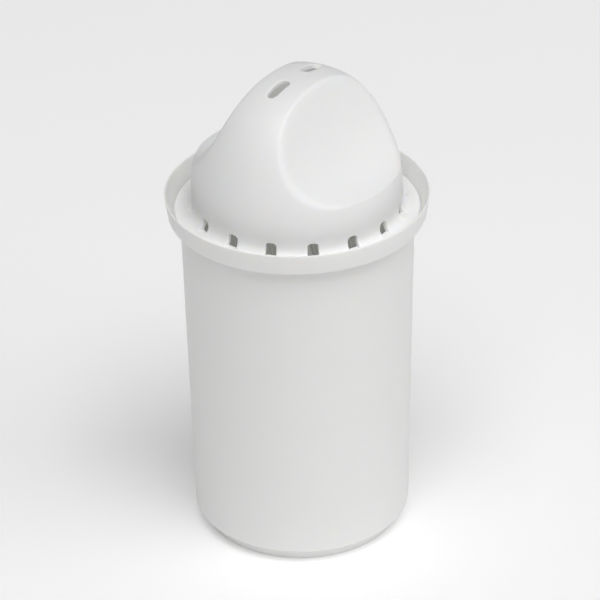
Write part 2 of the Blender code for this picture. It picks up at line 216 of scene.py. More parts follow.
# Cup. The white outer shell is moulded in one piece: a slightly tapered wall on a slotted base with a
# stepped, tapering foot, widened at the mouth into a flat ledge and an upstanding rim with a thin lip.
RIM_RADIUS = cad_high.x
RIM_FLARE = 0.8 * MM
RIM_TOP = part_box("cup")[1].z
LEDGE_UNDERSIDE = RIM_TOP - 5.4 * MM
LEDGE_TOP = LEDGE_UNDERSIDE + 0.8 * MM
RIM_FOOT_WALL = 1.4 * MM
RIM_FOOT_FILLET = 0.35 * MM
LIP_WALL = 0.35 * MM
LIP_INNER_CORNER = 0.08 * MM
LIP_OUTER_CORNER = 0.1 * MM
LIP_OVERRUN = 0.01 * MM
LEDGE_CORNER = 0.5 * MM
LEDGE_ROOT = 0.15 * MM
BODY_TOP_RADIUS = 28.8 * MM
BODY_BOTTOM_RADIUS = 27.4 * MM
FOOT_RADIUS = 24.6 * MM
FOOT_HEIGHT = 4.0 * MM
FOOT_STEP_CORNER = 0.15 * MM
FOOT_COVE_DEPTH = 1.8 * MM
FOOT_COVE_DROP = 1.0 * MM
FOOT_COVE_CORNER = 0.25 * MM
FOOT_CORNER = 0.3 * MM
FOOT_RING_WIDTH = 1.8 * MM
FOOT_RING_HEIGHT = 1.0 * MM
FOOT_RING_CORNER = 0.2 * MM
BASE_TOP = 2.6 * MM
BASE_CORNER = 1.5 * MM
BASE_EDGE_FLAT = 0.5 * MM
BODY_WALL = 1.6 * MM
MOUTH_WALL = 1.0 * MM
MOUTH_CORNER = 0.2 * MM
SCREEN_SEAT = LEDGE_UNDERSIDE - 2.6 * MM
SEAT_CORNER = 0.15 * MM
FIT_CLEARANCE = 0.3 * MM
BASE_SLOTS = 12
BASE_SLOT_HALF_WIDTH = 0.9 * MM
BASE_SLOT_INNER = 6.5 * MM
BASE_SLOT_OUTER = 20.0 * MM
BASE_SLOT_ROWS = 13
BASE_HUB_ROWS = 3
CUP_COLUMNS_PER_SLOT = 24
CUP_SLOT_COLUMNS = 6
SHARP_ANGLE = math.radians(40)
WELD_DISTANCE = 0.002 * MM
CUP_WHITE = (0.89, 0.89, 0.88)
CUP_CLOUDED = (0.88, 0.88, 0.87)
CUP_ROUGHNESS = 0.42
CUP_GRAIN = 2600.0
CUP_LIGHT_DEPTH = 0.3 * MM
GRAIN_RELIEF = 0.04 * MM


def rounded_path(corners, steps=6):
    """A section of straight lines with rounded corners.

    Each corner is (r, z, radius). The arc touches both lines at the tangent length, radius over the
    tangent of half the corner's angle, and is drawn as points of the circle between the two touching points.
    """
    points = []
    for index, (r, z, radius) in enumerate(corners):
        here = np.array([r, z])
        if radius == 0:
            points.append(here)
            continue
        before = np.array(corners[index - 1][:2]) - here
        after = np.array(corners[index + 1][:2]) - here
        before /= np.linalg.norm(before)
        after /= np.linalg.norm(after)
        half = math.acos(np.clip(before @ after, -1.0, 1.0)) / 2
        middle = here + (before + after) / np.linalg.norm(before + after) * radius / math.sin(half)
        start = here + before * radius / math.tan(half) - middle
        end = here + after * radius / math.tan(half) - middle
        turn = math.atan2(start[0] * end[1] - start[1] * end[0], start @ end)
        for angle in np.linspace(0.0, turn, steps + 1):
            c, s = math.cos(angle), math.sin(angle)
            points.append(middle + (start[0] * c - start[1] * s, start[0] * s + start[1] * c))
    return np.array(points)


def carried_round(radii, heights, azimuths):
    """Grid of points: a radius and a height for each row, carried round Z to the row's azimuths."""
    r, z = np.reshape(radii, (-1, 1)), np.reshape(heights, (-1, 1))
    return np.stack([r * np.cos(azimuths), r * np.sin(azimuths), z + 0.0 * azimuths], axis=-1)


def skin(grid, open_cells=None):
    """Points and faces of a grid of points, with no face on the open cells.

    Faces point along the cross product of the step down the rows and the step along the columns.
    """
    rows, columns = grid.shape[:2]
    index = np.arange(rows * columns).reshape(rows, columns)
    faces = np.stack([index[:-1, :-1], index[1:, :-1], index[1:, 1:], index[:-1, 1:]], axis=-1)
    if open_cells is not None:
        faces = faces[~open_cells]
    return grid.reshape(-1, 3), faces.reshape(-1, 4)


def opening_walls(layers, open_cells):
    """Points and faces of the walls through a stack of grids, round the edge of every group of open cells.

    An edge between a closed and an open cell, taken against the closed cell's direction of turn, is
    carried down from layer to layer.
    """
    depth, rows, columns = layers.shape[:3]
    index = np.arange(rows * columns).reshape(rows, columns)
    across_open, across_shut = open_cells[1:] & ~open_cells[:-1], ~open_cells[1:] & open_cells[:-1]
    along_open, along_shut = open_cells[:, 1:] & ~open_cells[:, :-1], ~open_cells[:, 1:] & open_cells[:, :-1]
    left, right = index[1:-1, :-1], index[1:-1, 1:]
    upper, lower = index[:-1, 1:-1], index[1:, 1:-1]
    start = np.concatenate([right[across_open], left[across_shut], upper[along_open], lower[along_shut]])
    end = np.concatenate([left[across_open], right[across_shut], lower[along_open], upper[along_shut]])
    drops = np.arange(depth - 1)[:, None] * rows * columns
    below = drops + rows * columns
    faces = np.stack([start + drops, end + drops, end + below, start + below], axis=-1)
    return layers.reshape(-1, 3), faces.reshape(-1, 4)


def piece_from(name, parts, material, nodes):
    """One closed mesh from sets of points and faces that share their borders, in place of CAD nodes."""
    offset = 0
    points, faces = [], []
    for part_points, part_faces in parts:
        used, renumbered = np.unique(part_faces, return_inverse=True)
        points += part_points[used].tolist()
        faces += (renumbered.reshape(part_faces.shape) + offset).tolist()
        offset += len(used)
    mesh = bpy.data.meshes.new(name)
    mesh.from_pydata(points, [], faces)
    shape = bmesh.new()
    shape.from_mesh(mesh)
    bmesh.ops.remove_doubles(shape, verts=shape.verts, dist=WELD_DISTANCE)
    shape.to_mesh(mesh)
    shape.free()
    mesh.shade_smooth()
    mesh.set_sharp_from_angle(angle=SHARP_ANGLE)
    mesh.materials.append(material)
    piece = bpy.data.objects.new(name, mesh)
    bpy.context.scene.collection.objects.link(piece)
    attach(piece, "root")
    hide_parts(*nodes)
    return piece


def body_radius(height):
    """Outer radius of the tapered wall, a straight draft from its lower edge to the ledge."""
    share = (height - FOOT_HEIGHT) / (LEDGE_UNDERSIDE - FOOT_HEIGHT)
    return BODY_BOTTOM_RADIUS + (BODY_TOP_RADIUS - BODY_BOTTOM_RADIUS) * share


def barred_azimuths(radii, bars, half_widths, bar_columns, columns_per_bar):
    """Azimuths of the columns of a disc's grid at each radius, so that columns run along straight bars.

    A bar's side at half width h lies at the angle asin(h / r). The columns inside a bar divide that angle
    evenly, and the columns between two bars divide the rest.
    """
    pitch = 2 * math.pi / bars
    half = np.arcsin(half_widths / radii)[:, None]
    bar_share = np.linspace(-1.0, 1.0, bar_columns + 1)[None, :]
    between = np.linspace(0.0, 1.0, columns_per_bar - bar_columns + 1)[None, 1:-1]
    one_pitch = np.concatenate([half * bar_share, half + (pitch - 2 * half) * between], axis=1)
    starts = pitch * np.arange(bars)
    around = (one_pitch[:, None, :] + starts[None, :, None]).reshape(len(radii), -1)
    return np.concatenate([around, around[:, :1] + 2 * math.pi], axis=1)


def white_plastic(white, clouded, roughness, sheen_grain, depth, painted_glow_strength=0.0):
    """Finish of satin polypropylene: faint clouds, a fine spark-eroded grain, and light let in to a depth.

    A painted glow, emission on the faces marked as inside, stands in for light that soaks through a thin
    wall.
    """

    def finish(start, shader):
        place = start.node("TexCoord", output="Object")
        cloud = start.node("TexNoise", Vector=place, Scale=45.0, Detail=4.0, Roughness=0.55)
        join(cloud.blend(white, clouded), shader["Base Color"])
        streak = start.node("TexNoise", Vector=place, Scale=260.0, Detail=2.0)
        join(roughness + 0.10 * (cloud - 0.5) + 0.06 * (streak - 0.5), shader["Roughness"])
        grain = start.node("TexNoise", Vector=place, Scale=sheen_grain, Detail=3.0, Roughness=0.6)
        join(start.node("Bump", Height=grain, Strength=0.12, Distance=GRAIN_RELIEF), shader["Normal"])
        shader["Subsurface Weight"].default_value = 1.0
        shader["Subsurface Radius"].default_value = (1.0, 0.95, 0.85)
        shader["Subsurface Scale"].default_value = depth
        if painted_glow_strength:
            # painted glow: emission on the inner faces stands in for light soaked through the wall
            inside = start.node("Attribute", {"attribute_name": "inside"}, output="Fac")
            join(inside.blend((0.0, 0.0, 0.0), (1.0, 0.99, 0.97)), shader["Emission Color"])
            shader["Emission Strength"].default_value = painted_glow_strength
        shader["Specular IOR Level"].default_value = 0.45

    return finish


cup_plastic = shaded("cup_plastic", white_plastic(
    CUP_WHITE, CUP_CLOUDED, CUP_ROUGHNESS, CUP_GRAIN, CUP_LIGHT_DEPTH
))

rim_bottom_radius = RIM_RADIUS - RIM_FLARE
mouth_radius = body_radius(LEDGE_TOP) - MOUTH_WALL
rim_floor_radius = rim_bottom_radius - RIM_FOOT_WALL
floor_edge_radius = body_radius(BASE_TOP) - BODY_WALL
foot_inner_radius = FOOT_RADIUS - FOOT_RING_WIDTH
floor_radii = np.concatenate([
    np.linspace(0.0, BASE_SLOT_INNER, BASE_HUB_ROWS + 1)[:-1],
    np.linspace(BASE_SLOT_INNER, BASE_SLOT_OUTER, BASE_SLOT_ROWS + 1),
    [floor_edge_radius - BASE_CORNER - BASE_EDGE_FLAT],
])
base_azimuths = barred_azimuths(
    np.clip(floor_radii, BASE_SLOT_INNER, BASE_SLOT_OUTER), BASE_SLOTS, BASE_SLOT_HALF_WIDTH,
    CUP_SLOT_COLUMNS, CUP_COLUMNS_PER_SLOT,
)
base_grids = np.stack([
    carried_round(floor_radii, np.full_like(floor_radii, height), base_azimuths)
    for height in (BASE_TOP, FOOT_RING_HEIGHT)
])
in_slot_rows = np.isin(np.arange(len(floor_radii) - 1), BASE_HUB_ROWS + np.arange(BASE_SLOT_ROWS))
in_slot_columns = np.arange(base_azimuths.shape[1] - 1) % CUP_COLUMNS_PER_SLOT < CUP_SLOT_COLUMNS
base_open = in_slot_rows[:, None] & in_slot_columns[None, :]
cup_azimuths = base_azimuths[-1]
cup_section = rounded_path([
    (floor_radii[-1], BASE_TOP, 0),
    (floor_edge_radius, BASE_TOP, BASE_CORNER),
    (body_radius(SCREEN_SEAT) - BODY_WALL, SCREEN_SEAT, SEAT_CORNER),
    (body_radius(SCREEN_SEAT) - MOUTH_WALL, SCREEN_SEAT, SEAT_CORNER),
    (mouth_radius, LEDGE_TOP, MOUTH_CORNER),
    (rim_floor_radius, LEDGE_TOP, RIM_FOOT_FILLET),
    (RIM_RADIUS - LIP_WALL, RIM_TOP, LIP_INNER_CORNER),
    (RIM_RADIUS + LIP_OVERRUN, RIM_TOP, LIP_OUTER_CORNER),
    (rim_bottom_radius, LEDGE_UNDERSIDE, LEDGE_CORNER),
    (BODY_TOP_RADIUS, LEDGE_UNDERSIDE, LEDGE_ROOT),
    (BODY_BOTTOM_RADIUS, FOOT_HEIGHT, FOOT_STEP_CORNER),
    (BODY_BOTTOM_RADIUS - FOOT_COVE_DEPTH, FOOT_HEIGHT - FOOT_COVE_DROP, FOOT_COVE_CORNER),
    (FOOT_RADIUS, 0.0, FOOT_CORNER),
    (foot_inner_radius, 0.0, FOOT_RING_CORNER),
    (foot_inner_radius, FOOT_RING_HEIGHT, FOOT_RING_CORNER),
    (floor_radii[-1], FOOT_RING_HEIGHT, 0),
])
piece_from(
    "cup_shell",
    [
        skin(base_grids[0], base_open),
        skin(carried_round(*cup_section.T, cup_azimuths)),
        skin(base_grids[1, ::-1], base_open[::-1]),
        opening_walls(base_grids, base_open),
    ],
    cup_plastic,
    ["cup"],
)


# Cap. One thin moulding lies on the cup's ledge: a dome pinched by two finger hollows into a ridge to
# hold it by, sixteen flow slots where the dome meets its flange, two vents on the ridge, a spigot below.
CAP_WALL = 1.0 * MM
CAP_WHITE = (0.95, 0.95, 0.94)
CAP_CLOUDED = (0.94, 0.94, 0.93)
CAP_ROUGHNESS = 0.44
CAP_GRAIN = 2400.0
CAP_LIGHT_DEPTH = 0.3 * MM
# strength of the painted glow on the cap's inner faces, standing in for light soaked through the wall, and
# the shares of the way through the wall where that glow starts and is full
CAP_PAINTED_GLOW_STRENGTH = 0.105
DARK_SHARE = 0.9
GLOWING_SHARE = 0.98
CAP_UNDERSIDE = RIM_TOP - 4.3 * MM
FLANGE_TOP = CAP_UNDERSIDE + 0.45 * MM
FLANGE_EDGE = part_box("cap")[1].x
FLANGE_TOP_CORNER = 0.2 * MM
FLANGE_LOWER_CORNER = 0.15 * MM
SPIGOT_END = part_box("cap")[0].z
SPIGOT_OUTER = body_radius(SCREEN_SEAT) - MOUTH_WALL - FIT_CLEARANCE
SPIGOT_INNER = SPIGOT_OUTER - 1.1 * MM
SPIGOT_CORNER = 0.3 * MM
DOME_RADIUS = 25.9 * MM
DOME_FILLET = 2.1 * MM
FILLET_LENGTH = DOME_FILLET * math.pi / 2
FILLET_RUN_ON = 1.2 * MM
DOME_CENTRE = FLANGE_TOP + DOME_FILLET
DOME_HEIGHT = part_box("cap")[1].z - DOME_CENTRE
DOME_FULLNESS = 2.43
RIDGE_HALF_WIDTH = 6.1 * MM
HOLLOW_AXES = np.array([105.0, 17.0, 30.6]) * MM
HOLLOW_CENTRE_RISE = 40.5 * MM
HOLLOW_EDGE_BLEND = 2.0 * MM
CAP_SLOTS = 16
SLOT_HALF_WIDTH = 1.35 * MM
SLOT_TOP = FLANGE_TOP + 3.35 * MM
SLOT_SILL = FLANGE_TOP + 0.1 * MM
SLOT_TOP_CORNER = 0.95 * MM
SLOT_SILL_CORNER = 0.15 * MM
SLOT_EDGE = 0.22 * MM
VENT_FROM_AXIS = 6.8 * MM
VENT_HALF_LENGTH = 3.6 * MM
VENT_HALF_WIDTH = 1.5 * MM
VENT_ROUNDING = 0.98
FIRST_SLOT_AZIMUTH = math.radians(-45.0)
TOP_PATCH_ELEVATION = math.radians(62.0)
SLOT_BAND_ELEVATION = math.radians(10.0)
CAP_COLUMNS_PER_SLOT = 24
CAP_SLOT_COLUMNS = 8
DOME_ROWS = 52
LAND_ROWS = 7
SLOT_ROWS = 15
SILL_ROWS = 4
RUN_ON_ROWS = 3
OPENING_REACH = 1.9


def dome_distance(elevation, inset):
    """Distance from the dome's centre to its surface at an elevation.

    The section is a superellipse: the powers of cos / radius and of sin / height add up to one over
    the same power of the distance.
    """
    across = (np.cos(elevation) / (DOME_RADIUS - inset)) ** DOME_FULLNESS
    upward = (np.maximum(np.sin(elevation), 0.0) / (DOME_HEIGHT - inset)) ** DOME_FULLNESS
    return (across + upward) ** (-1.0 / DOME_FULLNESS)


def hollow_distance(direction, inset):
    """Distance from the dome's centre to the near side of the hollow's ellipsoid.

    Divided by the ellipsoid's axes, the ellipsoid is a unit sphere, and the distance is the nearer root
    of the quadratic of the ray that meets it. Where a ray misses, the root of what is missing is added,
    so that the distance grows on without a step. Both hollows are the same one, by the size of y.
    """
    axes = HOLLOW_AXES + inset
    centre = np.array([0.0, RIDGE_HALF_WIDTH + HOLLOW_AXES[1], HOLLOW_CENTRE_RISE])
    ray = direction * [1.0, 0.0, 1.0] + np.abs(direction) * [0.0, 1.0, 0.0]
    ray = ray / axes
    centre = centre / axes
    a = (ray * ray).sum(axis=-1)
    b = ray @ centre
    under_root = b * b - a * (centre @ centre - 1.0)
    return (b - np.sign(under_root) * np.sqrt(np.abs(under_root))) / a


def soft_minimum(first, second, blend):
    """The smaller of two lengths, rounded off where they are within the blend of each other."""
    share = np.clip(0.5 + 0.5 * (second - first) / blend, 0.0, 1.0)
    return second * (1 - share) + first * share - blend * share * (1 - share)


def dome_points(direction, inset):
    """Points of the dome's surface in the given directions from its centre, hollows and all."""
    direction = direction / np.linalg.norm(direction, axis=-1, keepdims=True)
    elevation = np.arcsin(np.clip(direction[..., 2], -1.0, 1.0))
    distance = soft_minimum(
        dome_distance(elevation, inset), hollow_distance(direction, inset), HOLLOW_EDGE_BLEND
    )
    return direction * distance[..., None] + [0.0, 0.0, DOME_CENTRE]


def onto_outline(u, v, middle, half, aim_middle, aim_half, corners):
    """Moves grid points round an opening so that the ring at its edge lies on a rounded outline.

    Each point is divided by the larger of its two distances from the middle, which gives the point of
    the rectangle behind it. That point is carried to the aimed rectangle and pulled onto the corner's
    arc, and the grid point follows it, less and less up to the opening's reach.
    """
    p, q = (u - middle[0]) / half[0], (v - middle[1]) / half[1]
    size = np.maximum(np.maximum(np.abs(p), np.abs(q)), 1e-6)
    p, q = p / size, q / size
    radius = np.where(q < 0, corners[0], corners[1])
    straight = np.stack([aim_half[0] - radius, aim_half[1] - radius])
    over = np.maximum(np.stack([np.abs(p) * aim_half[0], np.abs(q) * aim_half[1]]) - straight, 0.0)
    in_corner = (over > 0).all(axis=0)
    pull = np.where(in_corner, radius / np.maximum(np.hypot(over[0], over[1]), 1e-9), 1.0)
    reached = np.minimum(np.stack([np.abs(p) * aim_half[0], np.abs(q) * aim_half[1]]), straight) + over * pull
    move_u = aim_middle[0] + np.sign(p) * reached[0] - middle[0] - p * half[0]
    move_v = aim_middle[1] + np.sign(q) * reached[1] - middle[1] - q * half[1]
    fade = np.clip((OPENING_REACH - size) / (OPENING_REACH - 1.0), 0.0, 1.0)
    fade = fade * fade * (3 - 2 * fade)
    return u + fade * move_u, v + fade * move_v


def fillet_sweep(depth):
    """Angle of the fillet's arc at a depth: a quarter turn outside, inside as far as the spigot's bore."""
    inner_sweep = math.acos((DOME_RADIUS + DOME_FILLET - SPIGOT_INNER) / (DOME_FILLET + CAP_WALL))
    return math.pi / 2 + (inner_sweep - math.pi / 2) * depth / CAP_WALL


def cap_wall_points(across, along, azimuth, depth):
    """Points of the dome's foot at one depth in the wall.

    The first coordinate runs round the dome from a slot's middle, the second down its section: on the
    dome it sets the elevation of the ray from the centre, and past the start of the fillet it is the
    share of the fillet's arc, then a straight run on. Depth is measured along the surface's normal.
    """
    turned = azimuth + across / DOME_RADIUS
    elevation = np.arctan2(-along, DOME_RADIUS)
    direction = np.stack([
        np.cos(elevation) * np.cos(turned), np.cos(elevation) * np.sin(turned), np.sin(elevation)
    ], axis=-1)
    on_dome = dome_points(direction, depth)
    share = depth / CAP_WALL
    angle = fillet_sweep(depth) * np.clip(along / FILLET_LENGTH, 0.0, 1.0)
    beyond = np.maximum(along - FILLET_LENGTH, 0.0)
    r = DOME_RADIUS + DOME_FILLET - (DOME_FILLET + depth) * np.cos(angle) + beyond * (1 - share)
    z = DOME_CENTRE - (DOME_FILLET + depth) * np.sin(angle) - beyond * share
    on_fillet = np.stack([r * np.cos(turned), r * np.sin(turned), z], axis=-1)
    return np.where((along > 0)[..., None], on_fillet, on_dome)


def sill_station(depth):
    """Place along the section where the slot's level sill meets the wall at a depth."""
    down = math.asin((DOME_CENTRE - SLOT_SILL) / (DOME_FILLET + depth))
    return FILLET_LENGTH * down / fillet_sweep(depth)


# Layers of the wall that show at an opening: a quarter round at the outer edge, then straight through, with
# one layer just short of the inside, where the painted glow of the chamber's wall ends
edge_turn = np.radians([0.0, 30.0, 60.0, 90.0])
layer_depths = np.append(SLOT_EDGE * (1 - np.cos(edge_turn)), [DARK_SHARE * CAP_WALL, CAP_WALL])
layer_growths = np.append(SLOT_EDGE * (1 - np.sin(edge_turn)), [0.0, 0.0])

slot_top_station = DOME_CENTRE - SLOT_TOP
slot_sill_station = sill_station(0.0)
dome_elevations = np.linspace(TOP_PATCH_ELEVATION, SLOT_BAND_ELEVATION, DOME_ROWS + 1)
dome_stations = -DOME_RADIUS * np.tan(dome_elevations)
stations = np.concatenate([
    dome_stations,
    np.linspace(dome_stations[-1], slot_top_station, LAND_ROWS + 1)[1:],
    np.linspace(slot_top_station, slot_sill_station, SLOT_ROWS + 1)[1:],
    np.linspace(slot_sill_station, FILLET_LENGTH, SILL_ROWS + 1)[1:],
    np.linspace(FILLET_LENGTH, FILLET_LENGTH + FILLET_RUN_ON, RUN_ON_ROWS + 1)[1:],
])
half_pitch = math.pi / CAP_SLOTS * DOME_RADIUS
half_slot = CAP_SLOT_COLUMNS // 2
slot_columns = np.linspace(0.0, SLOT_HALF_WIDTH, half_slot + 1)
land_columns = np.linspace(
    SLOT_HALF_WIDTH, 2 * half_pitch - SLOT_HALF_WIDTH, CAP_COLUMNS_PER_SLOT - CAP_SLOT_COLUMNS + 1
)[1:-1]
one_pitch = np.concatenate([slot_columns, land_columns, 2 * half_pitch - slot_columns[:0:-1]])
from_first = (one_pitch + 2 * half_pitch * np.arange(CAP_SLOTS)[:, None]).ravel()
from_first = np.append(from_first, 2 * half_pitch * CAP_SLOTS)
nearest_slot = np.round(from_first / (2 * half_pitch))
across = from_first - 2 * half_pitch * nearest_slot
slot_azimuths_round = FIRST_SLOT_AZIMUTH + 2 * math.pi * nearest_slot / CAP_SLOTS
across_grid, along_grid = np.meshgrid(across, stations)
slot_middle = (slot_top_station + slot_sill_station) / 2
slot_half = (slot_sill_station - slot_top_station) / 2


def slotted_layer(depth, growth):
    """The wall's grid at one depth, drawn onto the slots' outline grown by the edge's rounding."""
    sill = sill_station(depth)
    u, v = onto_outline(
        across_grid,
        along_grid,
        (0.0, slot_middle),
        (SLOT_HALF_WIDTH, slot_half),
        (0.0, (slot_top_station + sill) / 2),
        (SLOT_HALF_WIDTH + growth, (sill - slot_top_station) / 2 + growth),
        (SLOT_TOP_CORNER + growth, SLOT_SILL_CORNER + growth),
    )
    return cap_wall_points(u, v, slot_azimuths_round, depth)


wall_layers = np.stack([slotted_layer(d, g) for d, g in zip(layer_depths, layer_growths)])
rows_open = np.isin(np.arange(len(stations) - 1), DOME_ROWS + LAND_ROWS + np.arange(SLOT_ROWS))
column_of_pitch = np.arange(len(across) - 1) % CAP_COLUMNS_PER_SLOT
columns_open = (column_of_pitch < half_slot) | (column_of_pitch >= CAP_COLUMNS_PER_SLOT - half_slot)
slots_open = rows_open[:, None] & columns_open[None, :]

# The top of the dome is a square patch of the grid, so that no pole lies on the ridge. Its border is the
# first row of the wall's grid, and its lines run along and across the vents. A place in it is a slope,
# x / z and y / z as seen from the dome's centre.
quarter = (len(across) - 1) // 4
patch_radius = 1 / math.tan(TOP_PATCH_ELEVATION)
side = math.sqrt(2) * np.sin(FIRST_SLOT_AZIMUTH + from_first[: quarter + 1] / DOME_RADIUS)
p, q = np.meshgrid(side, side, indexing="ij")
slope_x = patch_radius * p * np.sqrt(1 - q * q / 2)
slope_y = patch_radius * q * np.sqrt(1 - p * p / 2)


def ridge_slope(x):
    """Slope x / z of the point of the ridge above x."""
    return x / (DOME_HEIGHT * (1 - (x / DOME_RADIUS) ** DOME_FULLNESS) ** (1 / DOME_FULLNESS))


vent_near = ridge_slope(VENT_FROM_AXIS - VENT_HALF_LENGTH)
vent_far = ridge_slope(VENT_FROM_AXIS + VENT_HALF_LENGTH)
vent_half = ((vent_far - vent_near) / 2, VENT_HALF_WIDTH / DOME_HEIGHT)
near_line, far_line, side_line = (
    int(np.abs(patch_radius * side - slope).argmin()) for slope in (vent_near, vent_far, vent_half[1])
)
grid_near, grid_far, grid_side = patch_radius * side[[near_line, far_line, side_line]]


def vented_layer(depth, growth):
    """The patch at one depth in the wall, drawn onto the vents' outline grown by the edge's rounding."""
    u, v = slope_x, slope_y
    grow = growth / DOME_HEIGHT
    for end in (-1, 1):
        u, v = onto_outline(
            u,
            v,
            (end * (grid_near + grid_far) / 2, 0.0),
            ((grid_far - grid_near) / 2, grid_side),
            (end * (vent_near + vent_far) / 2, 0.0),
            (vent_half[0] + grow, vent_half[1] + grow),
            (VENT_ROUNDING * vent_half[1] + grow,) * 2,
        )
    return dome_points(np.stack([u, v, np.ones_like(u)], axis=-1), depth)


top_layers = np.stack([vented_layer(d, g) for d, g in zip(layer_depths, layer_growths)])
cell = np.arange(quarter)
vent_rows = (cell >= near_line) & (cell < far_line)
vent_rows |= vent_rows[::-1]
vent_columns = (cell < side_line) & (cell >= quarter - side_line)
vents_open = vent_rows[:, None] & vent_columns[None, :]

cap_azimuths = FIRST_SLOT_AZIMUTH + from_first / DOME_RADIUS
spigot_section = rounded_path([
    (DOME_RADIUS + DOME_FILLET + FILLET_RUN_ON, FLANGE_TOP, 0),
    (FLANGE_EDGE, FLANGE_TOP, FLANGE_TOP_CORNER),
    (FLANGE_EDGE, CAP_UNDERSIDE, FLANGE_LOWER_CORNER),
    (SPIGOT_OUTER, CAP_UNDERSIDE, FLANGE_LOWER_CORNER),
    (SPIGOT_OUTER, SPIGOT_END, SPIGOT_CORNER),
    (SPIGOT_INNER, SPIGOT_END, SPIGOT_CORNER),
    (SPIGOT_INNER, wall_layers[-1, -1, 0, 2], 0),
], steps=3)

cap_plastic = shaded("cap_plastic", white_plastic(
    CAP_WHITE, CAP_CLOUDED, CAP_ROUGHNESS, CAP_GRAIN, CAP_LIGHT_DEPTH, CAP_PAINTED_GLOW_STRENGTH
))
cap_shell = piece_from(
    "cap_shell",
    [
        skin(top_layers[0], vents_open),
        skin(wall_layers[0], slots_open),
        skin(carried_round(*spigot_section.T, cap_azimuths)),
        skin(wall_layers[-1, ::-1], slots_open[::-1]),
        skin(top_layers[-1, ::-1], vents_open[::-1]),
        opening_walls(top_layers, vents_open),
        opening_walls(wall_layers, slots_open),
    ],
    cap_plastic,
    ["cap"],
)


def painted_glow_share(points):
    """Share of the painted glow at each point: 1 on the wall of the chamber, and 0 up to the dark share of
    the way through.
    """
    from_centre = points - [0.0, 0.0, DOME_CENTRE]
    distance = np.linalg.norm(from_centre, axis=1)
    direction = from_centre / distance[:, None]
    outside = soft_minimum(
        dome_distance(np.arcsin(direction[:, 2]), 0.0), hollow_distance(direction, 0.0), HOLLOW_EDGE_BLEND
    )
    in_dome = (outside - distance) / CAP_WALL
    r, z = np.hypot(points[:, 0], points[:, 1]), from_centre[:, 2]
    in_fillet = (np.hypot(DOME_RADIUS + DOME_FILLET - r, z) - DOME_FILLET) / CAP_WALL
    in_spigot = (SPIGOT_OUTER - r) / (SPIGOT_OUTER - SPIGOT_INNER)
    lower_share = np.where(z > CAP_UNDERSIDE - DOME_CENTRE, in_fillet, in_spigot)
    through_wall = np.where(z > 0, in_dome, lower_share)
    return np.clip((through_wall - DARK_SHARE) / (GLOWING_SHARE - DARK_SHARE), 0.0, 1.0)


# Mask of the painted glow: faces on the chamber's wall get emission that stands in for light soaked through
# the wall.
cap_points = np.empty(3 * len(cap_shell.data.vertices))
cap_shell.data.vertices.foreach_get("co", cap_points)
inside = cap_shell.data.attributes.new("inside", "FLOAT", "POINT")
inside.data.foreach_set("value", painted_glow_share(cap_points.reshape(-1, 3)))


# Screens. Two round screens hold the bed in. Each is a ring, a hub and eight spokes moulded round a disc of
# plain woven mesh. The upper one lies on a step below the cup's mouth, the lower one on the cup's floor.
SPOKES = 8
SPOKE_HALF_WIDTH = 0.6 * MM
SPOKE_DROP = 0.2 * MM
HUB_RADIUS = 2.5 * MM
HUB_ROWS = 2
SCREEN_RING_WIDTH = 1.6 * MM
SCREEN_RING_CORNER = 0.2 * MM
SCREEN_EDGE = 0.15 * MM
RING_CHAMFER = 0.06 * MM
SPOKE_COLUMNS = 4
COLUMNS_PER_SPOKE = 28
SPOKE_ROWS = 12
MESH_MIDDLE = 0.25 * MM
THREAD_PITCH = 0.65 * MM
THREAD_HALF_SECTION = (0.2 * MM, 0.1 * MM)
THREAD_WAVE = 0.11 * MM
FRAME_WHITE = (0.84, 0.85, 0.83)
FRAME_CLOUDED = (0.82, 0.83, 0.81)
FRAME_ROUGHNESS = 0.5
FRAME_GRAIN = 2200.0
FRAME_LIGHT_DEPTH = 0.8 * MM


def screen_frame(node):
    """Parts of a screen's frame: a disc with a window between each two spokes, inside a ring.

    A layer of the disc is drawn for each height of the rounded edges, with the spokes narrowed by as much
    as the edge has turned in, and one more for the underside.
    """
    low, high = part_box(node)
    ring_inner = high.x - SCREEN_RING_WIDTH
    spoke_top = high.z - SPOKE_DROP
    edges = zip(SCREEN_EDGE * (1 - np.sin(edge_turn)), spoke_top - SCREEN_EDGE * (1 - np.cos(edge_turn)))
    layers = []
    for shrink, height in (*edges, (0.0, low.z)):
        window = np.linspace(HUB_RADIUS - shrink, ring_inner + shrink, SPOKE_ROWS + 1)
        step = ring_inner + shrink + np.array([0.0, RING_CHAMFER])
        step_heights = [low.z] * 2 if height == low.z else [high.z - RING_CHAMFER, high.z]
        radii = np.concatenate([np.linspace(0.0, HUB_RADIUS, HUB_ROWS + 1)[:-1], window, step])
        heights = np.append(np.full(len(radii) - 2, height), step_heights)
        half_widths = np.append(np.full(len(radii) - 2, SPOKE_HALF_WIDTH - shrink), [SPOKE_HALF_WIDTH] * 2)
        azimuths = barred_azimuths(
            np.clip(radii, HUB_RADIUS, ring_inner), SPOKES, half_widths, SPOKE_COLUMNS, COLUMNS_PER_SPOKE
        )
        layers.append(carried_round(radii, heights, azimuths))
    layers = np.stack(layers)
    window_rows = np.isin(np.arange(len(radii) - 1), HUB_ROWS + np.arange(SPOKE_ROWS))
    between_spokes = np.arange(azimuths.shape[1] - 1) % COLUMNS_PER_SPOKE >= SPOKE_COLUMNS
    windows = window_rows[:, None] & between_spokes[None, :]
    ring_section = rounded_path([
        (ring_inner + SCREEN_EDGE + RING_CHAMFER, high.z, 0),
        (high.x, high.z, SCREEN_RING_CORNER),
        (high.x, low.z, SCREEN_RING_CORNER),
        (ring_inner + RING_CHAMFER, low.z, 0),
    ], steps=3)
    return [
        skin(layers[0], windows),
        skin(layers[-1, ::-1], windows[::-1]),
        opening_walls(layers, windows),
        skin(carried_round(*ring_section.T, azimuths[-1])),
    ]


